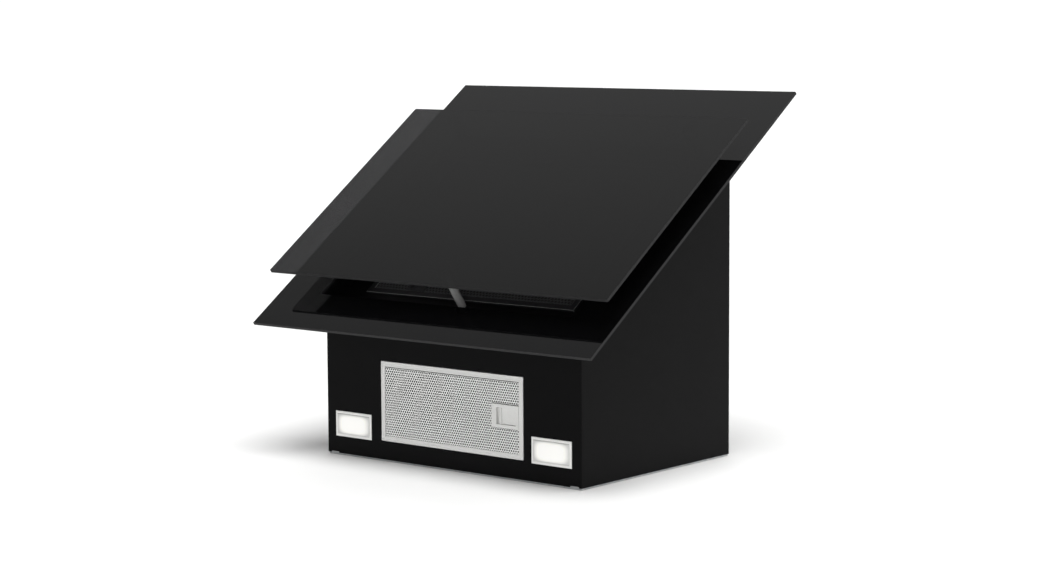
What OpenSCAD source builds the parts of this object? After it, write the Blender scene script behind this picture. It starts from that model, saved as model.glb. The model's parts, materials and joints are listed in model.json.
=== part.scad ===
// Angled extractor hood for the wall, with a glass front and a swing-out glass panel.
// It lies on its wall face: +Z points away from the wall, +Y up the wall in use, +X to the right.
// The origin is the centre of the four wall fixings, on the wall face. All sizes are in millimetres.

/* [Housing] */
// Width of the housing
housing_w = 448; // [440:1:460]
// Height of the housing along the wall
housing_h = 324; // [320:1:330]
// Thickness of the folded steel sheets
sheet = 1.2; // [0.8:0.1:1.4]
// Gap between the wall and the edges of the outer sheets
wall_gap = 2.5; // [2:0.5:4]
// Distance between the wall fixings across the wall
fixing_w = 360; // [300:5:400]
// Distance between the wall fixings up the wall
fixing_h = 220; // [180:5:260]
// Diameter of each wall fixing hole
fixing_d = 8; // [6:0.5:10]

/* [Glass] */
// Slope of both glasses away from the wall
slope = 35; // [33:0.5:37]
// Distance from the wall to the fixed glass, above the lamp panel
glass_out = 234.4; // [232:0.2:238]
// Width of both glasses
glass_w = 590; // [560:5:600]
// Length of the fixed glass along the slope
glass_l = 547; // [535:1:560]
// How far the fixed glass reaches below the lamp panel
glass_drop = 88; // [70:1:95]
// Thickness of both glasses
glass_t = 4; // [3:0.5:5]
// Width of the opening in the fixed glass
aperture_w = 440; // [438:1:442]
// Length of the opening along the slope
aperture_l = 355; // [353:1:357]
// How far the opening reaches below the lamp panel
aperture_drop = 19; // [18:0.5:20]

/* [Swing panel] */
// Length of the swing-out glass panel
panel_l = 370.4; // [366:0.4:372]
// How far the panel reaches below the lamp panel
panel_drop = 20.9; // [20:0.1:22]
// Gap between the fixed glass and the panel
panel_gap = 34; // [33:0.5:35]
// Radius of the panel's corners
panel_corner = 2; // [1:0.5:4]
// Distance of the hinge axis up the slope from the lamp panel
hinge_v = 330; // [328:1:332]
// Height of the hinge axis over the fixed glass
hinge_n = 16; // [15:0.5:17]
// Diameter of the catch pin
catch_d = 11.5; // [10:0.5:12]
// Distance of the catch pin up the slope from the lamp panel
catch_v = 13.5; // [13:0.5:14]

/* [Tray] */
// Depth of the tray under the fixed glass
tray_depth = 30; // [29:0.5:31]

/* [Large filter] */
// Width of the large filter
large_w = 364; // [360:1:365]
// Length of the large filter along the slope
large_l = 300; // [296:1:301]
// Thickness of both grease filters
filter_t = 9; // [8:0.5:10]
// Distance of the large filter up the slope from the lamp panel
large_v = 24; // [24:0.5:25]

/* [Small filter] */
// Width of the small filter
small_w = 250; // [240:1:255]
// Height of the small filter
small_h = 109; // [105:1:112]
// Gap all round the small filter
small_gap = 1.2; // [1:0.1:1.5]
// Middle of the small filter, to the right of the middle of the hood
small_x = 1.75; // [0:0.25:3]
// Lower edge of the small filter, from the wall
small_z = 28.4; // [26:0.2:30]

/* [Lamps] */
// Width of a lamp
lamp_w = 66.2; // [60:0.2:68]
// Height of a lamp
lamp_h = 35; // [32:0.5:38]
// Distance of each lamp's middle from the middle of the hood
lamp_x = 174.7; // [172:0.1:176]
// Distance of each lamp's middle from the wall
lamp_z = 44.1; // [42:0.1:48]

/* [Air outlet] */
// Outside diameter of the outlet collar
collar_d = 149.5; // [145:0.5:150]
// Length of the outlet collar
collar_l = 40; // [36:1:45]
// Distance of the outlet's middle from the wall
outlet_z = 164; // [160:1:168]

/* [Hidden] */
$fn = 96;
half_w = housing_w / 2;
half_h = housing_h / 2;
flange = 12;
angle_leg = 15;
angle_low = 20;
front_angle_top = 175;
rear_angle_top = 405;
bracket_v = 352;
bracket_w = 20;
bracket_l = 14;
bracket_drop = 14;
bracket_t = 1.5;
notch_w = 15;
notch_h = 1.8;
notch_inset = 5;

// Screws
screw_heights = [60, 200, 340];
screw_x = half_w - 8.5;
screw_hole_r = 2.1;
screw_r = 1.9;
head_r = 3.6;
head_t = 2;
collar_ring_r = 80;
motor_ring_r = 69;

// Touch board under the fixed glass
touch_w = 140;
touch_v0 = 353;
touch_v1 = 377;
touch_t = 3;

// Tray and large filter, in the slope's own frame
tray_w = aperture_w + 0.6;
tray_v = -aperture_drop;
floor_n = -tray_depth;
rim_n = -glass_t - sheet;
large_n = floor_n + 2 - filter_t;
large_gap = 1.2;
large_pivot_v = large_v + large_l - 3;
large_pivot_n = large_n + 2;
large_border = 9;
large_handle_u = -100;

// Small filter and the common filter handle
small_border = 7;
front_y = -half_h;
small_left = small_x - small_w / 2;
small_pivot_x = small_left + 2.25;
small_pivot_y = front_y + 2.5;
pivot_r = 1.2;
pivot_bore_r = 1.25;
pivot_l = 4.5;
face_t = 0.8;
face_n = filter_t - 0.8;
handle_l = 46.2;
handle_w = 31;
handle_t = 5.9;
handle_proud = 0.4;
handle_wall = 4.5;
slider_l = 26;
slider_t = 2.6;
bolt_w = 12;
bolt_reach = 1;
small_place = [39.1 + handle_w / 2, small_border + 0.05];
large_place = [large_w / 2 + large_handle_u, large_border + 0.05];

// Lamps
lamp_rim = 3.4;
lamp_depth = 22;

// Blower
blower_y = -10;
blower_z = 104;
blower_half = 65;
scroll_r0 = 84;
scroll_r1 = 114;
scroll_end_y = 150;
scroll_steps = 27;
tongue_rise = 6;
inlet_r = 60;
wheel_r = 76;
wheel_inner_r = 64;
wheel_half = 58;
blades = 40;
motor_r = 42;
motor_x0 = 10;
motor_x1 = 60;
bracket_plate = 2;
arm_half = 8;
arm_reach = 74;
foot_x = 40;
foot_l = 20;
foot_w = 16;
foot_drop = 95.6;
shaft_r = 4;
shaft_bore_r = 4.05;

// Air outlet and flaps
collar_r = collar_d / 2;
collar_bore_r = collar_r - 1.5;
collar_flange_r = 85;
flap_y = half_h + 18;
flap_r = collar_bore_r - 2.25;
axle_r = 1.5;
knuckle_r = 3.5;
knuckle_bore_r = 1.56;

// Swing panel hinges
hinge_u = 200;
hinge_plate = 3;
hinge_r = 3;
hinge_bore_r = 3.05;
pin_head_r = 5;
post_low = 10;
post_high = 4;
post_foot = 14;
leaf_foot = 13;
foot_t = 1.5;

// Electrical parts
gland_x = -170;
gland_z = 30;
gland_r = 7.9;
gland_nut_r = 11;
gland_bore_r = 3.6;
gland_clear_r = 9;
box_low = [-215, 40, sheet + 0.2];
box_high = [-125, 150, 44];
box_wall = 2;
board_low = [-210, 46, 8];
board_size = [80, 66, 1.6];
terminal_low = [-188, 118, 3.6];
terminal_size = [36, 16, 16.4];
driver_low = [140, 60, sheet + 0.2];
driver_high = [200, 140, 26];
capacitor_x0 = -205;
capacitor_x1 = -150;
capacitor_r = 15;
capacitor_z = 20;

// Height above the wall of the plane n over the fixed glass, at the place y up the wall
function plane_z(y, n) = glass_out + (y + half_h) * tan(slope) + n / cos(slope);

// Outline of the blower's scroll, grown by t, in the plane across the shaft
function scroll_outline(t) = concat(
    [for (i = [0:scroll_steps])
        let (a = -270 * i / scroll_steps)
        let (r = scroll_r0 + (scroll_r1 - scroll_r0) * i / scroll_steps + t)
        [blower_y + r * cos(a), blower_z + r * sin(a)]],
    [[scroll_end_y, blower_z + scroll_r1 + t], [scroll_end_y, blower_z + tongue_rise - t]]
);

// Puts its children in the slope's frame: X across, Y up the slope, Z out of the fixed glass
module on_slope() {
    translate([0, front_y, glass_out])
        rotate([slope, 0, 0])
            children();
}

// A block between two corners
module block(low, high) {
    translate(low)
        cube(high - low);
}

// A cylinder along X from x0 to x1
module rod_x(x0, x1, r, y, z) {
    translate([x0, y, z])
        rotate([0, 90, 0])
            cylinder(h = x1 - x0, r = r);
}

// A cylinder along Y from y0 to y1
module rod_y(y0, y1, r, x, z) {
    translate([x, y0, z])
        rotate([-90, 0, 0])
            cylinder(h = y1 - y0, r = r);
}

// A plate with round corners between two corners
module rounded_plate(low, high, r) {
    block([low[0] + r, low[1], low[2]], [high[0] - r, high[1], high[2]]);
    block([low[0], low[1] + r, low[2]], [high[0], high[1] - r, high[2]]);
    for (x = [low[0] + r, high[0] - r])
        for (y = [low[1] + r, high[1] - r])
            translate([x, y, low[2]])
                cylinder(h = high[2] - low[2], r = r);
}

// A flat shape across the shaft, from x0 to x1
module across_shaft(points, x0, x1) {
    translate([x0, 0, 0])
        rotate([90, 0, 90])
            linear_extrude(x1 - x0)
                polygon(points);
}

module wall_plate() {
    x = half_w - sheet - 0.2;
    y = half_h - sheet - 0.2;
    color("#b9bcc0")
        difference() {
            block([-x, -y, 0], [x, y, flange]);
            block([-x + sheet, -y + sheet, sheet], [x - sheet, y - sheet, flange + 1]);
            for (sx = [-1, 1])
                for (sy = [-1, 1])
                    translate([sx * fixing_w / 2, sy * fixing_h / 2, -1])
                        cylinder(h = sheet + 2, d = fixing_d);
            rod_y(y - sheet - 1, y + 1, gland_clear_r, gland_x, gland_z);
        }
}

module side_panel(side) {
    y = half_h - sheet - 0.1;
    top_n = rim_n - 0.4;
    outline = [
        [-y, wall_gap], [y, wall_gap],
        [y, plane_z(y, top_n)], [-y, plane_z(-y, top_n)]
    ];
    x0 = side > 0 ? half_w - sheet : -half_w;
    color("#1c1c1f")
        across_shaft(outline, x0, x0 + sheet);
}

module lamp_panel() {
    top_z = plane_z(front_y, floor_n - sheet) - 0.8;
    gap = small_gap;
    color("#1c1c1f") {
        difference() {
            union() {
                block([-half_w, front_y, wall_gap], [half_w, front_y + sheet, top_z]);
                block([-half_w + 3, front_y, top_z - sheet], [half_w - 3, front_y + flange, top_z]);
            }
            block([small_left - gap, front_y - 1, small_z - gap],
                [small_left + small_w + gap, front_y + sheet + 1, small_z + small_h + gap]);
            for (side = [-1, 1])
                block([side * lamp_x - lamp_w / 2 + 2, front_y - 1, lamp_z - lamp_h / 2 + 2],
                    [side * lamp_x + lamp_w / 2 - 2, front_y + sheet + 1, lamp_z + lamp_h / 2 - 2]);
            for (side = [-1, 1])
                translate([side * (half_w - notch_inset - notch_w / 2), front_y, wall_gap])
                    cube([notch_w, 4 * sheet, 2 * notch_h], center = true);
        }
        for (z = [small_z - 5.9, small_z + small_h + 1.4])
            difference() {
                block([small_pivot_x - 3.5, front_y + sheet, z],
                    [small_pivot_x + 3.5, front_y + 5.5, z + 4.5]);
                translate([small_pivot_x, small_pivot_y, z - 1])
                    cylinder(h = 6.5, r = pivot_bore_r);
            }
    }
}

module outlet_panel() {
    top_z = plane_z(half_h, rim_n - 1);
    color("#1c1c1f")
        difference() {
            block([-half_w, half_h - sheet, wall_gap], [half_w, half_h, top_z]);
            rod_y(half_h - 5, half_h + 5, collar_bore_r, 0, outlet_z);
            rod_y(half_h - 5, half_h + 5, gland_r + 0.2, gland_x, gland_z);
            for (side = [-1, 1])
                for (z = screw_heights)
                    rod_y(half_h - 5, half_h + 5, screw_hole_r, side * screw_x, z);
            for (a = [45:90:315])
                rod_y(half_h - 5, half_h + 5, screw_hole_r,
                    collar_ring_r * cos(a), outlet_z + collar_ring_r * sin(a));
        }
}

module corner_angles() {
    x = half_w - sheet - 0.1;
    y = half_h - sheet - 0.1;
    leg = angle_leg;
    color("#8e9094")
        for (side = [0, 1])
            for (back = [0, 1])
                mirror([1 - side, 0, 0])
                    mirror([0, 1 - back, 0])
                        difference() {
                            block([x - leg, y - leg, angle_low],
                                [x, y, back > 0 ? rear_angle_top : front_angle_top]);
                            block([x - leg - 1, y - leg - 1, angle_low - 1],
                                [x - sheet, y - sheet, rear_angle_top + 1]);
                            if (back > 0)
                                for (z = screw_heights)
                                    rod_y(y - leg - 1, half_h + 1, screw_hole_r, screw_x, z);
                        }
}

module glass_brackets() {
    x = half_w - sheet - 0.2;
    color("#8e9094")
        on_slope()
            for (side = [0, 1])
                mirror([side, 0, 0])
                    difference() {
                        block([x - bracket_w, bracket_v, rim_n - bracket_drop],
                            [x, bracket_v + bracket_l, rim_n]);
                        block([x - bracket_w - 1, bracket_v - 1, rim_n - bracket_drop - 1],
                            [x - bracket_t, bracket_v + bracket_l + 1, rim_n - bracket_t]);
                    }
}

module panel_screws() {
    color("#3a3a3d")
        for (side = [-1, 1])
            for (z = screw_heights) {
                rod_y(half_h, half_h + head_t, head_r, side * screw_x, z);
                rod_y(half_h - 6, half_h, screw_r, side * screw_x, z);
            }
}

module filter_tray() {
    u = tray_w / 2;
    v0 = tray_v - 0.3;
    v1 = tray_v + aperture_l + 0.3;
    hole_u = large_w / 2 + large_gap;
    hole_v0 = large_v - large_gap;
    hole_v1 = large_v + large_l + 1.6;
    ledge_n = large_n - 0.4;
    color("#161618")
        on_slope() {
            difference() {
                union() {
                    block([-u - sheet, v0 - sheet, floor_n - sheet], [u + sheet, v1 + sheet, rim_n + sheet]);
                    block([-u - 15, v0 - 15, rim_n], [u + 15, v1 + 13, rim_n + sheet]);
                    block([-hole_u - 1, hole_v0 - sheet, ledge_n - sheet], [hole_u + 1, hole_v0, floor_n]);
                    block([-hole_u - 1, hole_v0 - sheet, ledge_n - sheet],
                        [hole_u + 1, hole_v0 + 7, ledge_n]);
                    for (side = [-1, 1])
                        block([side > 0 ? hole_u : -hole_u - 5, large_pivot_v - 5, large_n - 2],
                            [side > 0 ? hole_u + 5 : -hole_u, large_pivot_v + 5, floor_n - 0.5]);
                }
                block([-u, v0, floor_n], [u, v1, rim_n + 3]);
                block([-hole_u, hole_v0, floor_n - 2], [hole_u, hole_v1, floor_n + 1]);
                rod_x(-hole_u - 6, hole_u + 6, 1.55, large_pivot_v, large_pivot_n);
            }
        }
}

module fixed_glass() {
    color("#0b0b0d")
        on_slope()
            difference() {
                block([-glass_w / 2, -glass_drop, -glass_t], [glass_w / 2, glass_l - glass_drop, 0]);
                block([-aperture_w / 2, tray_v, -glass_t - 1], [aperture_w / 2, tray_v + aperture_l, 1]);
            }
}

module touch_board() {
    color("#1f5a36")
        on_slope()
            block([-touch_w / 2, touch_v0, -glass_t - 0.2 - touch_t],
                [touch_w / 2, touch_v1, -glass_t - 0.2]);
}

module catch_pin() {
    r = catch_d / 2;
    color("#8c8c8c")
        on_slope()
            translate([0, catch_v, floor_n]) {
                cylinder(h = tray_depth + 26, r = r);
                translate([0, 0, tray_depth + 26])
                    cylinder(h = 1.6, r = r - 1.6);
                translate([0, 0, tray_depth + 27.6])
                    cylinder(h = 2.6, r1 = r - 0.2, r2 = r - 1.6);
            }
}

module hinge_post(side) {
    color("#2a2a2c")
        on_slope()
            mirror([side > 0 ? 0 : 1, 0, 0])
                difference() {
                    union() {
                        block([hinge_u, hinge_v - post_low, floor_n],
                            [hinge_u + hinge_plate, hinge_v + post_high, hinge_n]);
                        rod_x(hinge_u, hinge_u + hinge_plate, 7, hinge_v, hinge_n);
                        block([hinge_u, hinge_v - post_low, floor_n],
                            [hinge_u + post_foot, hinge_v + post_high, floor_n + foot_t]);
                    }
                    rod_x(hinge_u - 1, hinge_u + 5, hinge_bore_r, hinge_v, hinge_n);
                }
}

module hinge_leaf(side) {
    u0 = hinge_u + hinge_plate + 1;
    color("#2a2a2c")
        on_slope()
            mirror([side > 0 ? 0 : 1, 0, 0])
                difference() {
                    union() {
                        rod_x(u0, u0 + hinge_plate, 8, hinge_v, hinge_n);
                        block([u0, hinge_v - 8, hinge_n], [u0 + hinge_plate, hinge_v + 8, panel_gap]);
                        block([u0, hinge_v - 14, panel_gap - foot_t],
                            [u0 + leaf_foot, hinge_v + 10, panel_gap]);
                    }
                    rod_x(u0 - 1, u0 + 4, hinge_r, hinge_v, hinge_n);
                }
}

module hinge_pins() {
    color("#a5a7aa")
        on_slope()
            for (side = [0, 1])
                mirror([side, 0, 0]) {
                    rod_x(hinge_u - 2, hinge_u + 8, hinge_r, hinge_v, hinge_n);
                    rod_x(hinge_u + 7, hinge_u + 9, pin_head_r, hinge_v, hinge_n);
                }
}

module swing_glass() {
    color("#202024")
        on_slope()
            rounded_plate([-glass_w / 2, -panel_drop, panel_gap],
                [glass_w / 2, panel_l - panel_drop, panel_gap + glass_t], panel_corner);
}

module catch_socket() {
    color("#2a2a2c")
        on_slope()
            translate([0, catch_v, panel_gap - 10])
                difference() {
                    cylinder(h = 10, r = catch_d / 2 + 4.2);
                    translate([0, 0, -1])
                        cylinder(h = 10, r = catch_d / 2 + 0.6);
                }
}

module blower_scroll() {
    x = blower_half - sheet;
    color("#6f7277")
        difference() {
            across_shaft(scroll_outline(sheet), -x, x);
            across_shaft(
                concat(scroll_outline(0), [[scroll_end_y + 2, blower_z + tongue_rise]]),
                -x - 1, x + 1);
            block([-x - 1, scroll_end_y - 1, blower_z + tongue_rise],
                [x + 1, scroll_end_y + 2, blower_z + scroll_r1]);
        }
}

module blower_side(side) {
    x0 = side > 0 ? blower_half - sheet : -blower_half;
    color("#6f7277")
        difference() {
            union() {
                across_shaft(scroll_outline(sheet), x0, x0 + sheet);
                rod_x(side > 0 ? x0 - 5 : x0, side > 0 ? x0 + sheet : x0 + sheet + 5,
                    inlet_r + 1.5, blower_y, blower_z);
            }
            rod_x(x0 - 7, x0 + 9, inlet_r, blower_y, blower_z);
            if (side > 0)
                for (a = [90:120:330])
                    rod_x(x0 - 7, x0 + 9, screw_hole_r - 0.1,
                        blower_y + motor_ring_r * cos(a), blower_z + motor_ring_r * sin(a));
        }
}

module blower_feet() {
    color("#232325")
        for (x = [-foot_x, foot_x])
            block([x - foot_l / 2, blower_y - foot_w / 2, sheet],
                [x + foot_l / 2, blower_y + foot_w / 2, blower_z - foot_drop]);
}

module motor() {
    color("#7d8085")
        difference() {
            union() {
                rod_x(motor_x0, motor_x1, motor_r, blower_y, blower_z);
                rod_x(motor_x0 - 4, blower_half, motor_r - 8, blower_y, blower_z);
            }
            rod_x(motor_x0 - 5, blower_half + 1, shaft_bore_r, blower_y, blower_z);
        }
}

module motor_bracket() {
    color("#a3a5a8")
        difference() {
            union() {
                rod_x(blower_half, blower_half + bracket_plate, motor_r - 4, blower_y, blower_z);
                for (a = [90:120:330])
                    translate([blower_half, blower_y, blower_z])
                        rotate([a - 90, 0, 0])
                            block([0, -arm_half, 20], [bracket_plate, arm_half, arm_reach]);
            }
            rod_x(blower_half - 1, blower_half + 3, 7, blower_y, blower_z);
            for (a = [90:120:330])
                rod_x(blower_half - 1, blower_half + 3, screw_hole_r - 0.1,
                    blower_y + motor_ring_r * cos(a), blower_z + motor_ring_r * sin(a));
        }
}

module blower_screws() {
    color("#8e9094")
        for (a = [90:120:330]) {
            y = blower_y + motor_ring_r * cos(a);
            z = blower_z + motor_ring_r * sin(a);
            rod_x(blower_half + bracket_plate, blower_half + bracket_plate + head_t, head_r, y, z);
            rod_x(blower_half - 3, blower_half + bracket_plate, screw_r, y, z);
        }
}

module motor_shaft() {
    color("#c9cbcd")
        rod_x(-14, blower_half + 4, shaft_r, blower_y, blower_z);
}

module impeller_disc() {
    color("#3b3d40")
        difference() {
            union() {
                rod_x(-2, 0, wheel_inner_r, blower_y, blower_z);
                rod_x(-10, 2, 11, blower_y, blower_z);
            }
            rod_x(-11, 3, shaft_r, blower_y, blower_z);
        }
}

module impeller_blades() {
    color("#3b3d40") {
        for (x = [-wheel_half, -2, wheel_half - 2])
            difference() {
                rod_x(x, x + 2, wheel_r, blower_y, blower_z);
                rod_x(x - 1, x + 3, wheel_inner_r, blower_y, blower_z);
            }
        for (i = [0:blades - 1])
            translate([-wheel_half, blower_y, blower_z])
                rotate([360 * i / blades, 0, 0])
                    block([0, wheel_inner_r + 0.2, -0.5], [2 * wheel_half, wheel_r - 0.5, 0.5]);
    }
}

module capacitor() {
    color("#d8d8d6")
        rod_x(capacitor_x0, capacitor_x1, capacitor_r, 0, capacitor_z);
}

module outlet_collar() {
    color("#26262a")
        difference() {
            union() {
                rod_y(half_h, half_h + 1.5, collar_flange_r, 0, outlet_z);
                rod_y(half_h, half_h + collar_l, collar_r, 0, outlet_z);
            }
            difference() {
                rod_y(half_h - 1, half_h + collar_l + 1, collar_bore_r, 0, outlet_z);
                for (side = [0, 1])
                    translate([0, flap_y, outlet_z])
                        mirror([0, 0, side])
                            translate([0, 0, collar_bore_r - 7])
                                cylinder(h = 7.5, r = 4);
            }
            translate([0, flap_y, outlet_z - collar_bore_r - 0.2])
                cylinder(h = 2 * collar_bore_r + 0.4, r = axle_r);
            for (a = [45:90:315])
                rod_y(half_h - 5, half_h + 5, screw_hole_r,
                    collar_ring_r * cos(a), outlet_z + collar_ring_r * sin(a));
        }
}

module collar_screws() {
    color("#8e9094")
        for (a = [45:90:315]) {
            x = collar_ring_r * cos(a);
            z = outlet_z + collar_ring_r * sin(a);
            rod_y(half_h + 1.5, half_h + 1.5 + head_t, head_r, x, z);
            rod_y(half_h - 4, half_h + 1.5, screw_r, x, z);
        }
}

module flap_axle() {
    color("#c9cbcd")
        translate([0, flap_y, outlet_z - collar_bore_r])
            cylinder(h = 2 * collar_bore_r, r = axle_r);
}

module flap(side) {
    // The left and right knuckles sit at different heights on the one axle
    starts = side < 0 ? [-62, 5] : [-38, 42];
    color("#2f3033")
        mirror([side > 0 ? 0 : 1, 0, 0])
            difference() {
                union() {
                    intersection() {
                        rod_y(flap_y - 0.6, flap_y + 0.6, flap_r, 0, outlet_z);
                        block([4.5, flap_y - 2, outlet_z - 80], [80, flap_y + 2, outlet_z + 80]);
                    }
                    for (s = starts) {
                        translate([0, flap_y, outlet_z + s])
                            cylinder(h = 20, r = knuckle_r);
                        block([0, flap_y - 0.6, outlet_z + s], [6, flap_y + 0.6, outlet_z + s + 20]);
                    }
                }
                translate([0, flap_y, outlet_z - 80])
                    cylinder(h = 160, r = knuckle_bore_r);
            }
}

module control_box() {
    color("#d9d9d4")
        difference() {
            block(box_low, box_high);
            block(box_low + [box_wall, box_wall, box_wall], box_high + [-box_wall, -box_wall, 1]);
            rod_y(box_high[1] - 3, box_high[1] + 1, gland_clear_r, gland_x, gland_z);
        }
}

module control_lid() {
    color("#d9d9d4")
        block([box_low[0], box_low[1], box_high[2] + 0.2],
            [box_high[0], box_high[1], box_high[2] + 0.2 + box_wall]);
}

module main_board() {
    // Transformer, relay and sockets: place along the board, then width, length and height
    parts = [[5, 25, 28, 24.4], [38, 18, 14, 16.4], [60, 16, 48, 10.4]];
    color("#1f5a36") {
        block(board_low, board_low + board_size);
        for (part = parts)
            translate(board_low + [part[0], 6, board_size[2]])
                cube([part[1], part[2], part[3]]);
    }
}

module terminal_block() {
    color("#e6e6e0")
        difference() {
            block(terminal_low, terminal_low + terminal_size);
            for (i = [0:2])
                rod_y(terminal_low[1] + 8, terminal_low[1] + terminal_size[1] + 1, 2,
                    terminal_low[0] + 6 + 12 * i, terminal_low[2] + terminal_size[2] / 2);
        }
}

module cable_gland() {
    color("#1a1a1c")
        difference() {
            union() {
                rod_y(half_h - 8, half_h + 10, gland_r, gland_x, gland_z);
                translate([gland_x, half_h + 0.1, gland_z])
                    rotate([-90, 0, 0])
                        cylinder(h = 5, r = gland_nut_r, $fn = 6);
                translate([gland_x, half_h - sheet - 4.2, gland_z])
                    rotate([-90, 0, 0])
                        cylinder(h = 4, r = gland_nut_r, $fn = 6);
            }
            rod_y(half_h - 9, half_h + 11, gland_bore_r, gland_x, gland_z);
        }
}

module lamp_driver() {
    color("#e6e6e0")
        block(driver_low, driver_high);
}

module lamp_bezel(side) {
    x = side * lamp_x;
    w = lamp_w / 2;
    h = lamp_h / 2;
    color("#c8c8c4")
        difference() {
            union() {
                block([x - w, front_y - 1.2, lamp_z - h], [x + w, front_y, lamp_z + h]);
                block([x - w + 2.2, front_y - 1, lamp_z - h + 2.2],
                    [x + w - 2.2, front_y + lamp_depth, lamp_z + h - 2.2]);
            }
            block([x - w + lamp_rim, front_y - 2, lamp_z - h + lamp_rim],
                [x + w - lamp_rim, front_y + lamp_depth - 1.2, lamp_z + h - lamp_rim]);
        }
}

module lamp_lens(side) {
    x = side * lamp_x;
    w = lamp_w / 2 - lamp_rim - 0.1;
    h = lamp_h / 2 - lamp_rim - 0.1;
    color("#f6f5f0")
        block([x - w, front_y - 1.4, lamp_z - h], [x + w, front_y + 0.6, lamp_z + h]);
}

module lamp_board(side) {
    x = side * lamp_x;
    board_y = front_y + 12;
    color("#f0efe8") {
        block([x - 27, board_y, lamp_z - 12], [x + 27, board_y + 1.6, lamp_z + 12]);
        for (i = [-2:2])
            block([x + 10 * i - 1.5, board_y - 1, lamp_z - 1.5],
                [x + 10 * i + 1.5, board_y, lamp_z + 1.5]);
    }
}

// A filter lies in its own frame: X along its width, Y along its length and Z out of its face.
// Its handle stands along Y with the slider's bolt towards -Y; place is the handle's lower middle.

module filter_frame(w, l, border, place) {
    slot = bolt_w / 2 + 0.4;
    difference() {
        block([0, 0, 0], [w, l, filter_t]);
        block([border, border, 1], [w - border, l - border, filter_t + 1]);
        block([border + 3, border + 3, -1], [w - border - 3, l - border - 3, 2]);
        block([place[0] - slot, -1, filter_t - 5], [place[0] + slot, border + 1, filter_t - 1.6]);
    }
}

module filter_sheet(w, l, border, place, n0, n1) {
    difference() {
        block([border, border, n0], [w - border, l - border, n1]);
        if (n1 > filter_t - handle_t)
            block([place[0] - handle_w / 2 - 0.2, place[1] - 0.2, filter_t - handle_t - 0.2],
                [place[0] + handle_w / 2 + 0.2, place[1] + handle_l + 0.2, filter_t + 1]);
    }
}

module filter_handle(place) {
    top = filter_t + handle_proud;
    low = filter_t - handle_t + 0.4;
    difference() {
        block([place[0] - handle_w / 2, place[1], low], [place[0] + handle_w / 2, place[1] + handle_l, top]);
        block([place[0] - handle_w / 2 + handle_wall, place[1] + 5, low + 1],
            [place[0] + handle_w / 2 - handle_wall, place[1] + handle_l - 8.2, top + 1]);
        block([place[0] - bolt_w / 2 - 0.4, place[1] - 1, low + 1],
            [place[0] + bolt_w / 2 + 0.4, place[1] + 6, filter_t - 1.2]);
    }
}

module filter_slider(place) {
    low = filter_t - handle_t + 1.8;
    w = handle_w / 2 - handle_wall - 0.3;
    start = place[1] + 5.6;
    block([place[0] - w, start, low], [place[0] + w, start + slider_l, low + slider_t]);
    block([place[0] - w, start + slider_l - 2, low], [place[0] + w, start + slider_l, filter_t - 0.2]);
    block([place[0] - bolt_w / 2, -bolt_reach, low], [place[0] + bolt_w / 2, start + 1, low + 2]);
}

// Puts the small filter in the lamp panel: its length runs to the left and its face looks out
module small_filter_place() {
    translate([small_left + small_w, front_y + filter_t, small_z])
        rotate([90, -90, 0])
            children();
}

module small_filter_frame() {
    color("#c9c9c6") {
        small_filter_place()
            filter_frame(small_h, small_w, small_border, small_place);
        for (z = [small_z - pivot_l, small_z + small_h - 1])
            translate([small_pivot_x, small_pivot_y, z])
                cylinder(h = pivot_l + 1, r = pivot_r);
    }
}

module small_filter_face() {
    color("#b5b5b2")
        small_filter_place()
            filter_sheet(small_h, small_w, small_border, small_place, face_n - face_t, face_n);
}

module small_filter_core() {
    color("#9c9c9a")
        small_filter_place()
            filter_sheet(small_h, small_w, small_border, small_place, 2, face_n - face_t - 0.2);
}

module small_filter_back() {
    color("#b5b5b2")
        small_filter_place()
            filter_sheet(small_h, small_w, small_border, small_place, 1, 1.8);
}

module small_filter_handle() {
    color("#cfcfcb")
        small_filter_place()
            filter_handle(small_place);
}

module small_filter_slider() {
    color("#d8d8d4")
        small_filter_place()
            filter_slider(small_place);
}

module large_filter_place() {
    on_slope()
        translate([-large_w / 2, large_v, large_n])
            children();
}

module large_filter_frame() {
    color("#3a3a3d") {
        large_filter_place()
            filter_frame(large_w, large_l, large_border, large_place);
        on_slope()
            for (side = [0, 1])
                mirror([side, 0, 0])
                    rod_x(large_w / 2 - 1, large_w / 2 + 5, 1.5, large_pivot_v, large_pivot_n);
    }
}

module large_filter_face() {
    color("#2d2d30")
        large_filter_place()
            filter_sheet(large_w, large_l, large_border, large_place, face_n - face_t, face_n);
}

module large_filter_core() {
    color("#555558")
        large_filter_place()
            filter_sheet(large_w, large_l, large_border, large_place, 2, face_n - face_t - 0.2);
}

module large_filter_back() {
    color("#2d2d30")
        large_filter_place()
            filter_sheet(large_w, large_l, large_border, large_place, 1, 1.8);
}

module large_filter_handle() {
    color("#4a4a4d")
        large_filter_place()
            filter_handle(large_place);
}

module large_filter_slider() {
    color("#5a5a5d")
        large_filter_place()
            filter_slider(large_place);
}

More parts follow.
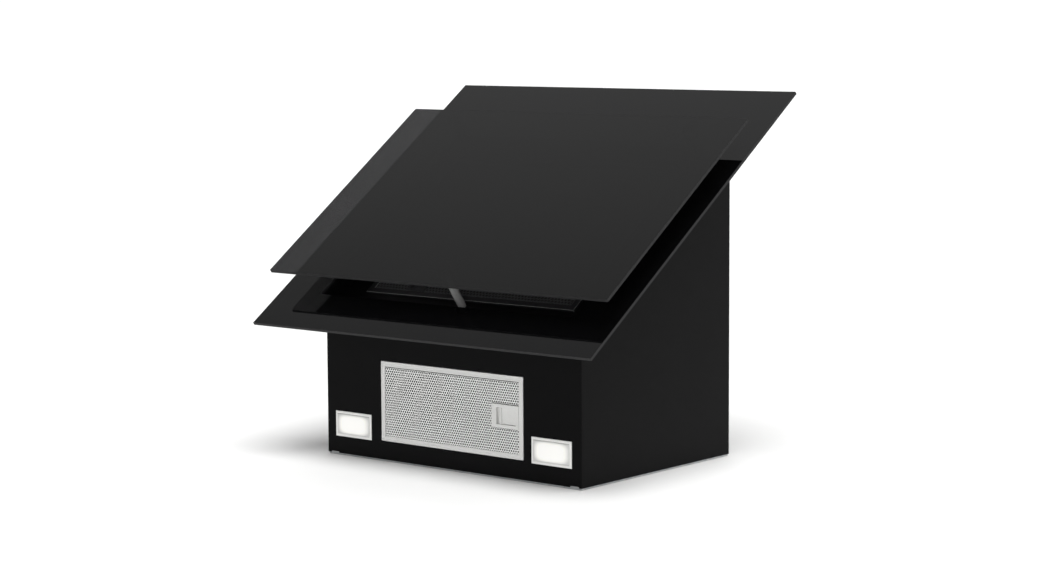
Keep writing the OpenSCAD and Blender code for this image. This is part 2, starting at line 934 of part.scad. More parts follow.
wall_plate();
side_panel(-1);  // left_side_panel
side_panel(1);  // right_side_panel
lamp_panel();
outlet_panel();
corner_angles();
glass_brackets();
panel_screws();
filter_tray();
fixed_glass();
touch_board();
catch_pin();
hinge_post(-1);  // left_hinge_post
hinge_post(1);  // right_hinge_post
swing_glass();
hinge_leaf(-1);  // left_hinge_leaf
hinge_leaf(1);  // right_hinge_leaf
hinge_pins();
catch_socket();
blower_scroll();
blower_side(-1);  // blower_left_side
blower_side(1);  // blower_right_side
blower_feet();
blower_screws();
motor();
motor_bracket();
motor_shaft();
impeller_disc();
impeller_blades();
capacitor();
outlet_collar();
collar_screws();
flap_axle();
flap(-1);  // left_flap
flap(1);  // right_flap
control_box();
control_lid();
main_board();
terminal_block();
cable_gland();
lamp_driver();
lamp_bezel(-1);  // left_lamp_bezel
lamp_lens(-1);  // left_lamp_lens
lamp_board(-1);  // left_lamp_board
lamp_bezel(1);  // right_lamp_bezel
lamp_lens(1);  // right_lamp_lens
lamp_board(1);  // right_lamp_board
small_filter_frame();
small_filter_face();
small_filter_core();
small_filter_back();
small_filter_handle();
small_filter_slider();
large_filter_frame();
large_filter_face();
large_filter_core();
large_filter_back();
large_filter_handle();
large_filter_slider();
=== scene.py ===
"""Looks of the angled extractor hood: materials, detailed filters, lamps, glass edges and fittings."""

import json
import math

import bmesh
import bpy
from mathutils import Matrix, Vector


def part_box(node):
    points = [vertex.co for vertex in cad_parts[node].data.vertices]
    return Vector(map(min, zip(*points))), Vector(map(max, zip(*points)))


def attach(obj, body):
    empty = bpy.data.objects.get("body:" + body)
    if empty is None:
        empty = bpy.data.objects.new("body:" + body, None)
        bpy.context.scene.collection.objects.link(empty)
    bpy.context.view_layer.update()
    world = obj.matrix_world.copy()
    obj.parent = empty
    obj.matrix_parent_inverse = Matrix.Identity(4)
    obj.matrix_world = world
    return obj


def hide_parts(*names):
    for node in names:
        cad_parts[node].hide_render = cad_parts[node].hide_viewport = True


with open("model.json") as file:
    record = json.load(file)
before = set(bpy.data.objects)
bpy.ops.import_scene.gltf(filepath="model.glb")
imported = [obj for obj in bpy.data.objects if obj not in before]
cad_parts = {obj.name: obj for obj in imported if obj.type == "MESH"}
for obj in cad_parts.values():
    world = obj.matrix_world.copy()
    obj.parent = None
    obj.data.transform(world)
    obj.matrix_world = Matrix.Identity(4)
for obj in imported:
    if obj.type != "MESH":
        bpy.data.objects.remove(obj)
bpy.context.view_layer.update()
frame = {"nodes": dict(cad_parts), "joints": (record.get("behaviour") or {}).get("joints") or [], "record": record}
nodes = frame["nodes"]
joints = {j["name"]: j for j in frame["joints"]}
MM = 0.001

# The slope's own axes: across, up the slope, and out of the glass
ACROSS = Vector((1, 0, 0))
UP_SLOPE = Vector(joints["large_filter_latch"]["axis"]).normalized()
OUT = ACROSS.cross(UP_SLOPE)
SLOPE = Matrix((ACROSS, UP_SLOPE, OUT)).transposed()


def slope_box(node):
    """Lowest and highest corner of a CAD node along the slope's own axes."""
    points = [SLOPE.transposed() @ v.co for v in nodes[node].data.vertices]
    low = Vector([min(p[k] for p in points) for k in range(3)])
    high = Vector([max(p[k] for p in points) for k in range(3)])
    return low, high


# Camera and light

VIEW_AZIMUTH = math.radians(39.76)
VIEW_ELEVATION = math.radians(6.22)
VIEW_ROLL = math.radians(-0.3)
VIEW_DISTANCE = 3.449
VIEW_LENS = 86.46
VIEW_TARGET = Vector((-0.0054, 0.0005, 0.2358))


def make_camera():
    back = Vector((
        math.sin(VIEW_AZIMUTH) * math.cos(VIEW_ELEVATION),
        -math.cos(VIEW_AZIMUTH) * math.cos(VIEW_ELEVATION),
        math.sin(VIEW_ELEVATION),
    ))
    data = bpy.data.cameras.new("camera")
    data.sensor_width = 36
    data.lens = VIEW_LENS
    data.clip_end = 200
    camera = bpy.data.objects.new("camera", data)
    camera.location = VIEW_TARGET + back * VIEW_DISTANCE
    turn = (-back).to_track_quat("-Z", "Y").to_matrix() @ Matrix.Rotation(VIEW_ROLL, 3, "Z")
    camera.rotation_euler = turn.to_euler()
    bpy.context.scene.collection.objects.link(camera)
    bpy.context.scene.camera = camera


def add_sun(name, toward, strength, spread):
    data = bpy.data.lights.new(name, "SUN")
    data.energy = strength
    data.angle = math.radians(spread)
    lamp = bpy.data.objects.new(name, data)
    lamp.rotation_euler = Vector(toward).to_track_quat("Z", "Y").to_euler()
    bpy.context.scene.collection.objects.link(lamp)


def make_world(front, above, behind):
    """A soft surround that is dim in front of the object, brighter overhead and white behind it."""
    world = bpy.data.worlds.new("studio")
    world.use_nodes = True
    tree = world.node_tree
    where = tree.nodes.new("ShaderNodeTexCoord")
    parts = tree.nodes.new("ShaderNodeSeparateXYZ")
    ramp = tree.nodes.new("ShaderNodeValToRGB")
    stops = ramp.color_ramp.elements
    stops.new(0.45)
    for stop, place, grey in zip(stops, (0.0, 0.45, 0.6), (front, above, behind)):
        stop.position = place
        stop.color = (grey, grey, grey, 1)
    tree.links.new(where.outputs["Generated"], parts.inputs[0])
    tree.links.new(parts.outputs["Y"], ramp.inputs[0])
    tree.links.new(ramp.outputs[0], tree.nodes["Background"].inputs["Color"])
    bpy.context.scene.world = world


def make_floor():
    half = 60.0
    mesh = bpy.data.meshes.new("floor")
    corners = [(-half, -half, 0), (half, -half, 0), (half, half, 0), (-half, half, 0)]
    mesh.from_pydata(corners, [], [(0, 1, 2, 3)])
    floor = bpy.data.objects.new("floor", mesh)
    floor.location.z = -0.0002
    bpy.context.scene.collection.objects.link(floor)
    floor.data.materials.append(material("floor", (0.9, 0.9, 0.895), rough=(0.7, 0.8), grain=30, spread=0.01,
                                         bump=0))


# Materials

made_materials = {}


def value_range(tree, source, low, high):
    node = tree.nodes.new("ShaderNodeMapRange")
    node.inputs["From Min"].default_value = 0.3
    node.inputs["From Max"].default_value = 0.7
    node.inputs["To Min"].default_value = low
    node.inputs["To Max"].default_value = high
    tree.links.new(source, node.inputs["Value"])
    return node.outputs["Result"]


# How far the colour of an edge varies, an edge that is worn and lightened as a painted highlight, and the depth of
# the fine relief
EDGE_SPREAD = 0.4
RELIEF_DEPTH = 0.1 * MM


def material(name, color, rough=(0.35, 0.45), metallic=0.0, grain=900, spread=0.12, bump=0.15, stretch=None,
             edge=None, shine=0.5, cells=False):
    """A surface with fine grain in its colour, roughness and relief; edge is the colour of its edges, partly wear
    and partly a painted highlight.
    """
    # The bevelled edges get a lighter colour: partly wear, partly a painted highlight where light would catch them
    if edge:
        wear_and_highlight_rough = (rough[0] * 0.8, rough[1])
        material(name + "_edge", edge, wear_and_highlight_rough, metallic, grain, EDGE_SPREAD, bump, stretch, shine=shine)
    made = bpy.data.materials.new(name)
    made.use_nodes = True
    tree = made.node_tree
    shader = tree.nodes["Principled BSDF"]
    shader.inputs["Metallic"].default_value = metallic
    shader.inputs["Specular IOR Level"].default_value = shine
    where = tree.nodes.new("ShaderNodeTexCoord")
    place = tree.nodes.new("ShaderNodeMapping")
    place.inputs["Scale"].default_value = stretch or (1, 1, 1)
    tree.links.new(where.outputs["Object"], place.inputs["Vector"])
    if cells:
        noise = tree.nodes.new("ShaderNodeTexVoronoi")
        height = noise.outputs["Color"]
    else:
        noise = tree.nodes.new("ShaderNodeTexNoise")
        noise.inputs["Detail"].default_value = 3
        height = noise.outputs[0]
    noise.inputs["Scale"].default_value = grain
    tree.links.new(place.outputs["Vector"], noise.inputs["Vector"])
    large = tree.nodes.new("ShaderNodeTexNoise")
    large.inputs["Scale"].default_value = max(grain / 60, 3)
    tree.links.new(place.outputs["Vector"], large.inputs["Vector"])
    tint = tree.nodes.new("ShaderNodeMix")
    tint.data_type = "RGBA"
    tint.inputs["A"].default_value = (*[c * (1 - spread) for c in color], 1)
    tint.inputs["B"].default_value = (*[min(1, c * (1 + spread)) for c in color], 1)
    tree.links.new(height, tint.inputs["Factor"])
    tree.links.new(tint.outputs["Result"], shader.inputs["Base Color"])
    tree.links.new(value_range(tree, large.outputs[0], *rough), shader.inputs["Roughness"])
    if bump:
        relief = tree.nodes.new("ShaderNodeBump")
        relief.inputs["Strength"].default_value = bump
        relief.inputs["Distance"].default_value = RELIEF_DEPTH
        tree.links.new(height, relief.inputs["Height"])
        tree.links.new(relief.outputs["Normal"], shader.inputs["Normal"])
    made_materials[name] = made
    return made


def glass_material(name, color, transmission, edge, edge_rough):
    """Glass whose faces are polished and whose cut edges are ground; the faces look out of the slope."""
    made = material(name, color, rough=(0.015, 0.03), grain=60, spread=0.1, bump=0)
    tree = made.node_tree
    shader = tree.nodes["Principled BSDF"]
    where = tree.nodes.new("ShaderNodeTexCoord")
    facing = tree.nodes.new("ShaderNodeVectorMath")
    facing.operation = "DOT_PRODUCT"
    facing.inputs[1].default_value = OUT
    tree.links.new(where.outputs["Normal"], facing.inputs[0])
    flat = tree.nodes.new("ShaderNodeMath")
    flat.operation = "ABSOLUTE"
    tree.links.new(facing.outputs["Value"], flat.inputs[0])
    rim = tree.nodes.new("ShaderNodeMapRange")
    rim.inputs["From Min"].default_value = 0.97
    rim.inputs["From Max"].default_value = 0.6
    tree.links.new(flat.outputs[0], rim.inputs["Value"])
    for socket, kind, value in (("Base Color", "Color", (*edge, 1)), ("Roughness", "Float", edge_rough)):
        before = shader.inputs[socket].links[0].from_socket
        mix = tree.nodes.new("ShaderNodeMix")
        mix.data_type = "RGBA" if kind == "Color" else "FLOAT"
        inputs = {s.identifier: s for s in mix.inputs}
        outputs = {s.identifier: s for s in mix.outputs}
        inputs["B_" + kind].default_value = value
        tree.links.new(before, inputs["A_" + kind])
        tree.links.new(rim.outputs["Result"], inputs["Factor_Float"])
        tree.links.new(outputs["Result_" + kind], shader.inputs[socket])
    if transmission:
        clear = tree.nodes.new("ShaderNodeMapRange")
        clear.inputs["To Min"].default_value = transmission
        clear.inputs["To Max"].default_value = 0.0
        tree.links.new(rim.outputs["Result"], clear.inputs["Value"])
        tree.links.new(clear.outputs["Result"], shader.inputs["Transmission Weight"])
    return made


def lamp_material():
    """A frosted lens that glows in the middle and fades to grey towards its border."""
    made = material("lit_lens", (0.6, 0.6, 0.585), rough=(0.3, 0.4), grain=600, spread=0.02, bump=0.1)
    tree = made.node_tree
    shader = tree.nodes["Principled BSDF"]
    shader.inputs["Emission Color"].default_value = (1.0, 0.985, 0.94, 1)
    where = tree.nodes.new("ShaderNodeTexCoord")
    parts = tree.nodes.new("ShaderNodeSeparateXYZ")
    tree.links.new(where.outputs["Generated"], parts.inputs[0])
    total = tree.nodes.new("ShaderNodeMath")
    for index, axis in enumerate("XZ"):
        centred = tree.nodes.new("ShaderNodeMath")
        centred.operation = "MULTIPLY_ADD"
        centred.inputs[1].default_value = 2
        centred.inputs[2].default_value = -1
        tree.links.new(parts.outputs[axis], centred.inputs[0])
        power = tree.nodes.new("ShaderNodeMath")
        power.operation = "POWER"
        power.inputs[1].default_value = 4
        tree.links.new(centred.outputs[0], power.inputs[0])
        tree.links.new(power.outputs[0], total.inputs[index])
    fade = tree.nodes.new("ShaderNodeMapRange")
    fade.interpolation_type = "SMOOTHSTEP"
    fade.inputs["From Min"].default_value = 0.05
    fade.inputs["From Max"].default_value = 1.2
    fade.inputs["To Min"].default_value = 0.44
    fade.inputs["To Max"].default_value = 0.02
    tree.links.new(total.outputs[0], fade.inputs["Value"])
    tree.links.new(fade.outputs["Result"], shader.inputs["Emission Strength"])
    return made


def make_materials():
    # The black paint's slightly lighter edge colour is a painted highlight along the body's edges, with a little
    # wear
    material("black_paint", (0.003, 0.003, 0.0032), rough=(0.4, 0.43), grain=1500, bump=0.25, shine=0.05,
             edge=(0.02, 0.02, 0.021))
    # The tray's light grey edge colour is a painted highlight: the bright lines along the tray and recess edges
    material("tray_paint", (0.003, 0.003, 0.0033), rough=(0.3, 0.4), grain=1200, bump=0.15, shine=0.15,
             edge=(0.3, 0.3, 0.3))
    glass_material("fixed_glass", (0.0015, 0.0015, 0.0017), 0.0, (0.008, 0.008, 0.0085), 0.8)
    glass_material("tinted_glass", (0.021, 0.021, 0.022), 1.0, (0.006, 0.006, 0.0065), 0.8)
    material("zinc", (0.42, 0.43, 0.44), rough=(0.3, 0.5), metallic=1, grain=120, spread=0.2, bump=0.05,
             cells=True)
    material("steel", (0.5, 0.5, 0.5), rough=(0.2, 0.35), metallic=1, grain=600, stretch=(1, 1, 20))
    material("screw_steel", (0.3, 0.3, 0.31), rough=(0.3, 0.4), metallic=1, grain=900)
    material("filter_frame", (0.68, 0.68, 0.665), rough=(0.35, 0.5), metallic=0.2, grain=500,
             stretch=(1, 8, 8), bump=0.15, edge=(0.78, 0.78, 0.77))
    material("filter_mesh", (0.9, 0.9, 0.885), rough=(0.35, 0.5), metallic=0.1, grain=700,
             spread=0.08, bump=0.2)
    material("inner_mesh", (0.03, 0.03, 0.029), rough=(0.35, 0.5), metallic=0.6, grain=700, bump=0.2)
    material("filter_core", (0.07, 0.07, 0.068), rough=(0.4, 0.6), metallic=0.7, grain=500, spread=0.6,
             bump=0.8)
    material("filter_handle", (0.7, 0.7, 0.685), rough=(0.4, 0.5), grain=900, bump=0.15)
    # The dark frame's grey edge colour is a painted highlight: the bright line along the large filter's frame
    # edges, with some wear
    material("dark_frame", (0.012, 0.012, 0.013), rough=(0.35, 0.45), grain=900, bump=0.2,
             edge=(0.36, 0.36, 0.36))
    material("dark_mesh", (0.085, 0.085, 0.088), rough=(0.3, 0.42), metallic=0.3, grain=900, bump=0.2)
    material("dark_handle", (0.03, 0.03, 0.032), rough=(0.4, 0.5), grain=900, bump=0.15)
    material("catch_metal", (0.75, 0.75, 0.74), rough=(0.24, 0.3), metallic=0.6, grain=700, bump=0.05)
    material("hinge_metal", (0.02, 0.02, 0.022), rough=(0.35, 0.5), grain=900)
    material("black_plastic", (0.015, 0.015, 0.016), rough=(0.4, 0.55), grain=1400, bump=0.3)
    material("grey_plastic", (0.035, 0.036, 0.038), rough=(0.45, 0.6), grain=1200, bump=0.25)
    material("white_plastic", (0.55, 0.55, 0.53), rough=(0.4, 0.5), grain=1200, bump=0.2)
    material("lamp_rim", (0.82, 0.82, 0.8), rough=(0.35, 0.45), grain=900, bump=0.1)
    material("circuit_board", (0.02, 0.11, 0.05), rough=(0.25, 0.4), grain=300, spread=0.4, bump=0.3,
             cells=True)
    material("motor_metal", (0.3, 0.31, 0.32), rough=(0.35, 0.5), metallic=1, grain=500, bump=0.4)
    material("rubber", (0.02, 0.02, 0.02), rough=(0.7, 0.85), grain=1500, bump=0.3)
    lamp_material()


# Shapes

def piece(name, verts, faces, look, body, smooth=None, replaces=()):
    """Makes a mesh piece from points and faces, gives it its look, and sets it on its body."""
    mesh = bpy.data.meshes.new(name)
    mesh.from_pydata([tuple(v) for v in verts], [], faces)
    return finish_piece(name, mesh, look, body, smooth, replaces)


def finish_piece(name, mesh, look, body, smooth=None, replaces=()):
    shape = bmesh.new()
    shape.from_mesh(mesh)
    bmesh.ops.remove_doubles(shape, verts=shape.verts, dist=1e-6)
    bmesh.ops.recalc_face_normals(shape, faces=shape.faces)
    shape.to_mesh(mesh)
    shape.free()
    if smooth:
        mesh.polygons.foreach_set("use_smooth", [True] * len(mesh.polygons))
        mesh.set_sharp_from_angle(angle=math.radians(smooth))
    mesh.materials.append(made_materials[look])
    made = bpy.data.objects.new(name, mesh)
    bpy.context.scene.collection.objects.link(made)
    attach(made, body)
    if replaces:
        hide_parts(*replaces)
    return made


def add_bevel(shape, look, width, segments=2):
    """Rounds the edges; where the look has an edge colour, worn and lightened as a painted highlight, the rounding
    shows it.
    """
    bevel = shape.modifiers.new("edges", "BEVEL")
    if look + "_edge" in made_materials:
        shape.data.materials.append(made_materials[look + "_edge"])
        bevel.material = len(shape.data.materials) - 1
    bevel.width = width
    bevel.segments = segments
    bevel.limit_method = "ANGLE"
    bevel.angle_limit = math.radians(40)
    bevel.use_clamp_overlap = True
    return bevel


def dress(node, look, bevel=0.0, segments=2):
    """Gives a CAD node its material and slightly rounded edges."""
    shape = nodes[node]
    if shape.material_slots:
        for slot in shape.material_slots:
            slot.material = made_materials[look]
    else:
        shape.data.materials.append(made_materials[look])
    if bevel:
        add_bevel(shape, look, bevel, segments)


# Filters: each is built in its own frame, X across its width, Y along its length, Z out of its face

MESH_TUCK = 1.5 * MM
LIP = 0.6 * MM
# Of each filter: the mesh's pitch, hole and thickness, the groove and mitre gap of its rim, and its bevel
FILTER_DETAILS = {
    "small_filter": (3.8 * MM, 2.75 * MM, 0.4 * MM, 0.3 * MM, 0.06 * MM, 0.35 * MM),
    "large_filter": (5.6 * MM, 4.1 * MM, 0.5 * MM, 0.0, 0.0, 0.8 * MM),
}
# The layer behind the mesh: the pitch of its diamonds, strand width, thickness, lift, and distance behind
INNER_PITCH = (5.2 * MM, 8.1 * MM)
INNER_STRAND = 1.1 * MM
INNER_THICK = 0.4 * MM
INNER_LIFT = 0.5 * MM
INNER_GAP = 1.1 * MM


def ring_of_bars(outline, width, length, gap=0.0):
    """The profile (inset, height) swept round a rectangle; a gap parts it into four mitred bars."""
    verts, faces = [], []
    corners = [(0, 0, 1, 1), (width, 0, -1, 1), (width, length, -1, -1), (0, length, 1, -1)]
    for side in range(4):
        start = len(verts)
        ends = (corners[side], corners[(side + 1) % 4])
        along = Vector((ends[1][0] - ends[0][0], ends[1][1] - ends[0][1])).normalized() * gap
        for k, (x, y, sx, sy) in enumerate(ends):
            push = along if k == 0 else -along
            for inset, height in outline:
                verts.append((x + sx * inset + push.x, y + sy * inset + push.y, height))
        count = len(outline)
        for i in range(count):
            j = (i + 1) % count
            faces.append((start + i, start + j, start + count + j, start + count + i))
        if gap:
            faces.append(tuple(start + i for i in range(count)))
            faces.append(tuple(start + count + i for i in reversed(range(count))))
    return verts, faces


def frame_profile(border, thickness, groove):
    """Outline of a filter's rim: a channel whose lips hold the sheets, with a shallow groove on its face."""
    middle = border * 0.62
    half = 0.4 * MM
    return [(0, 0), (0, thickness), (middle - half, thickness), (middle, thickness - groove),
            (middle + half, thickness), (border, thickness), (border, thickness - LIP),
            (border - MESH_TUCK, thickness - LIP), (border - MESH_TUCK, LIP), (border, LIP), (border, 0)]


def expanded_sheet(area, pitch, strand, level, thick, lift, keep_out=None):
    """A sheet of diamond openings: area and keep_out are (x0, y0, x1, y1), strand is the metal's width."""
    verts, faces = [], []
    x0, y0, x1, y1 = area
    half_x, half_y = pitch[0] / 2, pitch[1] / 2
    shrink = 1 - strand / min(half_x, half_y) / 1.4
    rows = int((y1 - y0) / half_y)
    for row in range(rows + 1):
        cy = y0 + row * half_y
        shift = half_x if row % 2 else 0
        for col in range(int((x1 - x0) / pitch[0]) + 1):
            cx = x0 + col * pitch[0] + shift
            if cx + half_x > x1 + MESH_TUCK or cy + half_y > y1 + MESH_TUCK:
                continue
            if cx - half_x < x0 - MESH_TUCK or cy - half_y < y0 - MESH_TUCK:
                continue
            if keep_out and keep_out[0] < cx < keep_out[2] and keep_out[1] < cy < keep_out[3]:
                continue
            start = len(verts)
            spots = [(half_x, 0, lift), (0, half_y, 0), (-half_x, 0, lift), (0, -half_y, 0)]
            for scale, drop in ((1, 0), (shrink, 0), (shrink, thick), (1, thick)):
                for dx, dy, rise in spots:
                    verts.append((cx + dx * scale, cy + dy * scale, level - drop + rise * scale))
            for ring in range(3):
                for i in range(4):
                    j = (i + 1) % 4
                    a, b = start + 4 * ring, start + 4 * ring + 4
                    faces.append((a + i, a + j, b + j, b + i))
    return verts, faces


def punched_sheet(area, pitch, hole, level, thick, keep_out=None):
    """A sheet with staggered round holes: pitch is the distance between them, hole their diameter."""
    verts, faces = [], []
    x0, y0, x1, y1 = area
    row_step = pitch * math.sqrt(3) / 2
    apothem = pitch / 2
    count = 12
    for row in range(int((y1 - y0) / row_step) + 1):
        cy = y0 + row * row_step
        for col in range(int((x1 - x0) / pitch) + 1):
            cx = x0 + col * pitch + (pitch / 2 if row % 2 else 0)
            if cx + pitch / 2 > x1 + MESH_TUCK or cy + pitch / 1.7 > y1 + MESH_TUCK:
                continue
            if keep_out and keep_out[0] < cx < keep_out[2] and keep_out[1] < cy < keep_out[3]:
                continue
            start = len(verts)
            for i in range(count):
                angle = math.radians(30 * i)
                reach = apothem / math.cos(math.radians(30 * (i % 2)))
                verts.append((cx + reach * math.cos(angle), cy + reach * math.sin(angle), level))
            for radius, drop in ((hole / 2 + 0.1 * MM, 0), (hole / 2, 0.12 * MM), (hole / 2, thick)):
                for i in range(count):
                    angle = math.radians(30 * i)
                    verts.append((cx + radius * math.cos(angle), cy + radius * math.sin(angle), level - drop))
            for ring in range(3):
                for i in range(count):
                    j = (i + 1) % count
                    a, b = start + count * ring, start + count * (ring + 1)
                    faces.append((a + i, a + j, b + j, b + i))
    return verts, faces


def sideways(box):
    """A rectangle (x0, y0, x1, y1) with its two directions exchanged."""
    return (box[1], box[0], box[3], box[2])


def placed(matrix, verts):
    return [matrix @ Vector(v) for v in verts]


def filter_frames():
    """Name, placement, width, length, border and thickness of each filter."""
    result = []
    face_low, face_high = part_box("small_filter_face")
    low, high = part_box("small_filter_frame")
    length = high.x - low.x
    border = (length - (face_high.x - face_low.x)) / 2
    width = face_high.z - face_low.z + 2 * border
    turn = Matrix(((0, -1, 0), (0, 0, -1), (1, 0, 0))).to_4x4()
    place = Matrix.Translation((high.x, high.y, face_low.z - border)) @ turn
    result.append(("small_filter", place, width, length, border, high.y - low.y))
    face_low, face_high = slope_box("large_filter_face")
    low, high = slope_box("large_filter_frame")
    length = high.y - low.y
    border = (length - (face_high.y - face_low.y)) / 2
    width = face_high.x - face_low.x + 2 * border
    place = SLOPE.to_4x4() @ Matrix.Translation((face_low.x - border, low.y, low.z))
    result.append(("large_filter", place, width, length, border, high.z - low.z))
    return result


def handle_area(name, place):
    """The rectangle that a filter's handle takes, in the filter's own frame."""
    back = place.inverted()
    points = [back @ v.co for v in nodes[name + "_handle"].data.vertices]
    across = [p.x for p in points]
    along = [p.y for p in points]
    return (min(across), min(along), max(across), max(along))


def make_filters():
    for name, place, width, length, border, thick in filter_frames():
        small = name == "small_filter"
        keep_out = handle_area(name, place)
        look = "filter_frame" if small else "dark_frame"
        pitch, hole, sheet, groove, gap, rounding = FILTER_DETAILS[name]
        verts, faces = ring_of_bars(frame_profile(border, thick, groove), width, length, gap=gap)
        rim = piece(name + "_rim", placed(place, verts), faces, look, name, replaces=(name + "_frame",))
        add_bevel(rim, look, rounding, 3)
        area = (border, border, width - border, length - border)
        level = thick - LIP - 0.05 * MM
        if small:
            verts, faces = punched_sheet(sideways(area), pitch, hole, level, sheet, sideways(keep_out))
            verts = [(y, x, z) for x, y, z in verts]
        else:
            verts, faces = punched_sheet(area, pitch, hole, level, sheet, keep_out)
        piece(name + "_mesh", placed(place, verts), faces, "filter_mesh" if small else "dark_mesh", name,
              replaces=(name + "_face",))
        verts, faces = expanded_sheet(area, INNER_PITCH, INNER_STRAND, level - INNER_GAP, INNER_THICK,
                                      INNER_LIFT, keep_out)
        piece(name + "_second_layer", placed(place, verts), faces, "inner_mesh", name,
              smooth=20)


def lathe(profile, steps=48):
    """Verts and faces of a profile (radius, height) turned about Z; a closed profile makes a solid ring."""
    verts, faces = [], []
    for i in range(steps):
        angle = 2 * math.pi * i / steps
        for radius, height in profile:
            verts.append((radius * math.cos(angle), radius * math.sin(angle), height))
    count = len(profile)
    for i in range(steps):
        a, b = count * i, count * ((i + 1) % steps)
        for k in range(count - 1):
            faces.append((a + k, b + k, b + k + 1, a + k + 1))
    return verts, faces


LAMP_DEPTH = 20 * MM
LENS_DOME = 0.5 * MM
LENS_THICK = 1.2 * MM


def make_lamps():
    for side in ("left", "right"):
        node = side + "_lamp_bezel"
        low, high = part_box(node)
        lens_low, lens_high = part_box(side + "_lamp_lens")
        rim = lens_low.x - low.x
        width, height = high.x - low.x, high.z - low.z
        upright = Matrix(((1, 0, 0), (0, 0, -1), (0, 1, 0))).to_4x4()
        place = Matrix.Translation(low) @ upright
        outline = [(0, -1.2 * MM), (0, -0.5 * MM), (0.15 * MM, -0.15 * MM), (0.5 * MM, 0),
                   (rim - 0.5 * MM, 0), (rim - 0.1 * MM, -0.25 * MM), (rim - 0.1 * MM, -LAMP_DEPTH),
                   (2.2 * MM, -LAMP_DEPTH), (2.2 * MM, -1.2 * MM)]
        verts, faces = ring_of_bars(outline, width, height)
        piece(side + "_lamp_rim", placed(place, verts), faces, "lamp_rim", "housing", smooth=35,
              replaces=(node,))
        verts, faces = [], []
        columns, rows = 29, 14
        wide, tall = lens_high.x - lens_low.x, lens_high.z - lens_low.z
        for j in range(rows + 1):
            for i in range(columns + 1):
                u, v = i / columns, j / rows
                dome = LENS_DOME * (1 - (2 * u - 1) ** 4) * (1 - (2 * v - 1) ** 4)
                verts.append((lens_low.x + u * wide, lens_low.y + LENS_DOME - dome, lens_low.z + v * tall))
        for j in range(rows):
            for i in range(columns):
                a = j * (columns + 1) + i
                faces.append((a, a + 1, a + columns + 2, a + columns + 1))
        lens = piece(side + "_lamp_glow", verts, faces, "lit_lens", "housing", smooth=60,
                     replaces=(side + "_lamp_lens",))
        thick = lens.modifiers.new("thick", "SOLIDIFY")
        thick.thickness = LENS_THICK
        thick.offset = 0


def make_catch_pin():
    low, high = slope_box("catch_pin")
    centre = (low + high) / 2
    radius = (high.x - low.x) / 2
    top = high.z - low.z
    profile = [(0, 0), (radius - 0.4 * MM, 0), (radius - 0.4 * MM, 1.2 * MM), (radius, 1.6 * MM),
               (radius, top - 6 * MM), (radius - 0.4 * MM, top - 5.5 * MM),
               (radius - 1.6 * MM, top - 4.2 * MM), (radius - 1.6 * MM, top - 2.6 * MM),
               (radius - 0.3 * MM, top - 2.4 * MM), (radius - 0.3 * MM, top - 1.6 * MM),
               (radius - 1.8 * MM, top - 0.2 * MM), (0, top)]
    verts, faces = lathe(profile)
    place = SLOPE.to_4x4() @ Matrix.Translation((centre.x, centre.y, low.z))
    piece("catch_pin_turned", placed(place, verts), faces, "catch_metal", "housing", smooth=30,
          replaces=("catch_pin",))


def islands(node):
    """The separate solids of a CAD node, each as a list of its points, in order of place."""
    shape = bmesh.new()
    shape.from_mesh(nodes[node].data)
    bmesh.ops.remove_doubles(shape, verts=shape.verts, dist=1e-6)
    left = set(shape.verts)
    groups = []
    while left:
        edge_of_search = [left.pop()]
        group = []
        while edge_of_search:
            vert = edge_of_search.pop()
            group.append(vert.co.copy())
            for edge in vert.link_edges:
                other = edge.other_vert(vert)
                if other in left:
                    left.remove(other)
                    edge_of_search.append(other)
        groups.append(group)
    shape.free()
    # The same order on every run, so that each screw is always turned the same way
    groups.sort(key=lambda group: [round(min(p[k] for p in group), 4) for k in range(3)])
    return groups


def screw_shape(head_radius, head_height, shank_radius, length):
    """A pan-head screw along Z with a cross recess; its head stands on the plane Z = 0."""
    steps, rings = 48, 12
    turns = [2 * math.pi * i / steps for i in range(steps)]
    arm, reach, depth = 0.16 * head_radius, 0.62 * head_radius, 0.6 * head_height
    rows = []
    for k in range(rings + 1):
        radius = head_radius * k / rings
        dome = head_height * (1 - 0.35 * (k / rings) ** 4)
        row = []
        for angle in turns:
            x, y = radius * math.cos(angle), radius * math.sin(angle)
            in_cross = min(abs(x), abs(y)) < arm and max(abs(x), abs(y)) < reach
            row.append((x, y, dome - depth if in_cross else dome))
        rows.append(row)
    for radius, height in ((head_radius, 0), (shank_radius, 0), (shank_radius, -length)):
        rows.append([(radius * math.cos(angle), radius * math.sin(angle), height) for angle in turns])
    verts = [v for row in rows for v in row]
    faces = []
    for k in range(len(rows) - 1):
        for i in range(steps):
            j = (i + 1) % steps
            a, b = k * steps, (k + 1) * steps
            faces.append((a + i, a + j, b + j, b + i))
    faces.append(tuple(range(len(verts) - steps, len(verts))))
    return verts, faces


SHANK_SHARE = 0.52
SCREW_TURN = 0.7


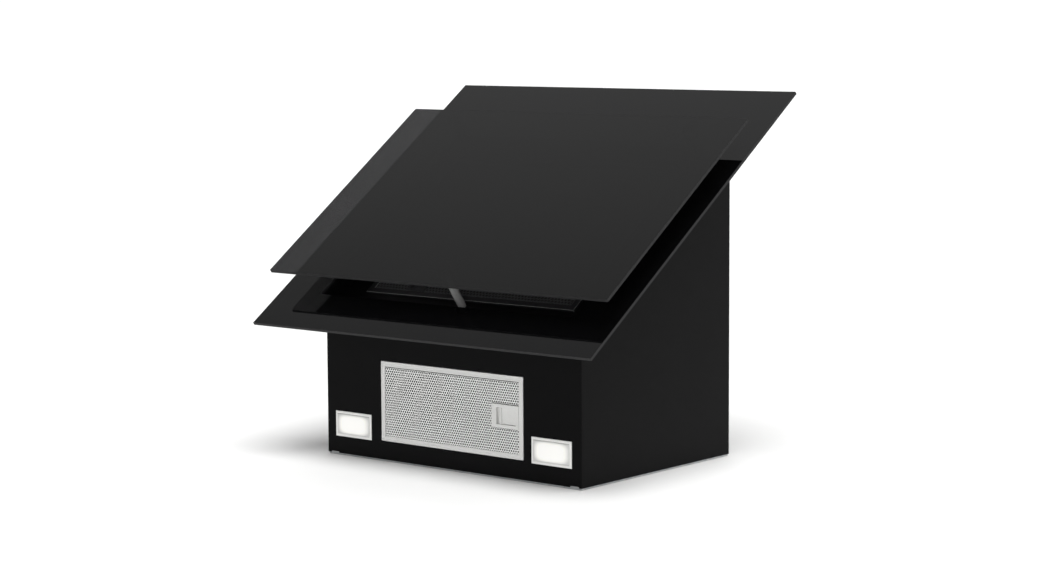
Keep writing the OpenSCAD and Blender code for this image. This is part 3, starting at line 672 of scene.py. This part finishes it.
def make_screws():
    """Cross-head screws in the places of the CAD's plain ones, each turned a little further."""
    for node, out in (("panel_screws", "Y"), ("collar_screws", "Y"), ("blower_screws", "X")):
        axis = "XYZ".index(out)
        across = 2 if axis < 2 else 0
        verts, faces = [], []
        for number, group in enumerate(islands(node)):
            low = Vector([min(p[k] for p in group) for k in range(3)])
            high = Vector([max(p[k] for p in group) for k in range(3)])
            centre = (low + high) / 2
            head_radius = (high[across] - low[across]) / 2
            at_rim = [p[axis] for p in group if abs(p[across] - centre[across]) > head_radius * 0.9]
            seat = min(at_rim)
            shank_radius = head_radius * SHANK_SHARE
            screw, sides = screw_shape(head_radius, high[axis] - seat, shank_radius, seat - low[axis])
            centre[axis] = seat
            outward = Vector([k == axis for k in range(3)])
            turn = Vector((0, 0, 1)).rotation_difference(outward).to_matrix().to_4x4()
            spin = Matrix.Rotation(SCREW_TURN * number, 4, "Z")
            start = len(verts)
            verts += placed(Matrix.Translation(centre) @ turn @ spin, screw)
            faces += [tuple(start + i for i in side) for side in sides]
        piece(node + "_cross_heads", verts, faces, "screw_steel", "housing", smooth=35, replaces=(node,))


BEAD_RADIUS = 1.3 * MM
BEAD_STRETCH = 1.6
BEAD_STEPS = 10
BEAD_FROM_END = 8 * MM
COLLAR_WALL = 1.5 * MM
GLAND_BORE = 3.6 * MM
GLAND_RADIUS = 7.9 * MM
GLAND_LENGTH = 8 * MM
FLUTES = 12
FLUTE_DEPTH = 0.35 * MM


def make_outlet():
    """The rolled bead round the outlet collar and the fluted cap of the cable gland."""
    low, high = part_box("outlet_collar")
    axle_low, axle_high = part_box("flap_axle")
    centre_z = (low.z + high.z) / 2
    radius = (axle_high.z - axle_low.z) / 2 + COLLAR_WALL
    middle = high.y - BEAD_FROM_END
    profile = [(radius + BEAD_RADIUS * math.sin(a), BEAD_RADIUS * BEAD_STRETCH * math.cos(a))
               for a in [math.radians(180 * i / BEAD_STEPS) for i in range(BEAD_STEPS + 1)]]
    verts, faces = lathe(profile, 96)
    along_y = Matrix.Rotation(math.radians(-90), 4, "X")
    place = Matrix.Translation((0, middle, centre_z)) @ along_y
    piece("collar_bead", placed(place, verts), faces, "black_paint", "housing", smooth=50)
    low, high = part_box("cable_gland")
    bore, outer, length = GLAND_BORE, GLAND_RADIUS, GLAND_LENGTH
    rows = [(bore, length), (bore + 1 * MM, length + 0.3 * MM), (outer - 2 * MM, length - 0.8 * MM),
            (outer + 0.6 * MM, length - 3 * MM), (outer + 0.9 * MM, length - 4 * MM), (outer + 0.9 * MM, 0),
            (outer, 0)]
    verts, faces = lathe(rows, 72)
    fluted = []
    for x, y, z in verts:
        reach = math.hypot(x, y)
        wave = max(0, math.cos(FLUTES * math.atan2(y, x)))
        shrink = 1 - FLUTE_DEPTH * wave / reach if reach > outer + 0.3 * MM else 1
        fluted.append((x * shrink, y * shrink, z))
    centre = (low + high) / 2
    place = Matrix.Translation((centre.x, high.y - length, centre.z)) @ along_y
    piece("gland_cap", placed(place, fluted), faces, "black_plastic", "housing", smooth=35)


def dress_cad_nodes():
    slots = {s["node"]: s["material_slot"] for s in frame["record"]["subparts"]}
    # Width of the rounded edges in millimetres, where it isn't the usual one
    bevels = {
        "left_side_panel": 0.4, "right_side_panel": 0.4, "lamp_panel": 0.3, "outlet_panel": 0.4,
        "filter_tray": 0.5, "fixed_glass": 0.5, "swing_glass": 0.5, "wall_plate": 0.3,
        "outlet_collar": 0.4, "left_flap": 0.3, "right_flap": 0.3, "control_box": 0.6, "control_lid": 0.6,
        "cable_gland": 0.4, "lamp_driver": 1.0, "small_filter_handle": 0.5, "small_filter_slider": 0.4,
        "large_filter_handle": 0.5, "large_filter_slider": 0.4, "catch_socket": 0.5, "motor": 1.0,
        "capacitor": 1.0,
    }
    for node in nodes:
        look = slots[node]
        if node.endswith("_core"):
            look = "filter_core"
        if look == "lamp_lens":
            look = "lit_lens"
        dress(node, look, bevels.get(node, 0.2) * MM)


bpy.context.scene.view_settings.view_transform = "Standard"
make_materials()
make_camera()
make_world(0.06, 0.73, 1.05)
add_sun("key_light", (0.25, -0.25, 0.93), 3.0, 40)
add_sun("fill_light", (0.35, -0.92, 0.12), 1.5, 40)
make_floor()
dress_cad_nodes()
make_filters()
make_lamps()
make_catch_pin()
make_screws()
make_outlet()
